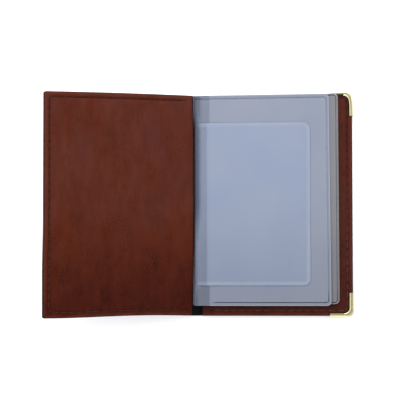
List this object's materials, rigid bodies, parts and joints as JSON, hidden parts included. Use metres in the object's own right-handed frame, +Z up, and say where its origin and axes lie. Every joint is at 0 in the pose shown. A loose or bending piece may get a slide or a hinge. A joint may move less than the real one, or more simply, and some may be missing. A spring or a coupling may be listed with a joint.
{
  "type": "passport holder",
  "caption": "Folding leather passport holder with inner pockets, a bound set of clear plastic sleeves, a card pocket and metal corner caps.",
  "frame": {"origin": "on the table, under the middle of the open holder's bounding box", "axes": "+X along the right cover away from the spine, +Y towards the head of the cover, +Z up"},
  "size_m": [0.1856, 0.136, 0.0394],
  "materials": {
    "leather_outer": "smooth, semi-matt",
    "leather_inner": "smooth, semi-matt",
    "board": "matt",
    "lining": "matt black textile",
    "thread": "waxed thread",
    "brass": "polished",
    "film": "clear, slightly hazy"
  },
  "bodies": {
    "right_cover": {"outer_leather_right": "leather_outer", "stiffener_right": "board", "lining_right": "lining", "pocket_flap_right": "leather_inner", "seam_thread_outer_right": "thread", "seam_thread_inner_right": "thread", "corner_cap_top": "brass", "corner_cap_bottom": "brass", "spine_leather": "leather_outer", "spine_lining": "lining", "insert_binding": "film", "insert_web": "film"},
    "left_cover": {"outer_leather_left": "leather_outer", "stiffener_left": "board", "lining_left": "lining", "pocket_flap_left": "leather_inner", "seam_thread_outer_left": "thread", "seam_thread_inner_left": "thread", "insert_tongue": "film"},
    "sleeve_1": {"sleeve_1_back": "film", "sleeve_1_front": "film", "card_pocket_film": "film"},
    "sleeve_2": {"sleeve_2_back": "film", "sleeve_2_front": "film"},
    "sleeve_3": {"sleeve_3_back": "film", "sleeve_3_front": "film"},
    "sleeve_4": {"sleeve_4_back": "film", "sleeve_4_front": "film"},
    "sleeve_5": {"sleeve_5_back": "film", "sleeve_5_front": "film"}
  },
  "joints": [
    {"name": "cover_fold", "type": "hinge", "parent": "right_cover", "child": "left_cover", "pos_m": [-0.00268, 0, 0.0055], "axis": [0, 1, 0], "range_deg": [-22, 158], "deforming": ["spine_leather", "spine_lining", "insert_web"]},
    {"name": "sleeve_1_turn", "type": "hinge", "parent": "right_cover", "child": "sleeve_1", "pos_m": [-0.00268, 0, 0.0055], "axis": [0, 1, 0], "range_deg": [-155, 0]},
    {"name": "sleeve_2_turn", "type": "hinge", "parent": "right_cover", "child": "sleeve_2", "pos_m": [-0.00268, 0, 0.0055], "axis": [0, 1, 0], "range_deg": [-151.9, 0]},
    {"name": "sleeve_3_turn", "type": "hinge", "parent": "right_cover", "child": "sleeve_3", "pos_m": [-0.00268, 0, 0.0055], "axis": [0, 1, 0], "range_deg": [-148.8, 0]},
    {"name": "sleeve_4_turn", "type": "hinge", "parent": "right_cover", "child": "sleeve_4", "pos_m": [-0.00268, 0, 0.0055], "axis": [0, 1, 0], "range_deg": [-145.7, 0]},
    {"name": "sleeve_5_turn", "type": "hinge", "parent": "right_cover", "child": "sleeve_5", "pos_m": [-0.00268, 0, 0.0055], "axis": [0, 1, 0], "range_deg": [-142.6, 0]}
  ],
  "couplings": [
    {"joint": "sleeve_2_turn", "follows": "sleeve_1_turn", "ratio": 0.98},
    {"joint": "sleeve_3_turn", "follows": "sleeve_1_turn", "ratio": 0.96},
    {"joint": "sleeve_4_turn", "follows": "sleeve_1_turn", "ratio": 0.94},
    {"joint": "sleeve_5_turn", "follows": "sleeve_1_turn", "ratio": 0.92}
  ]
}
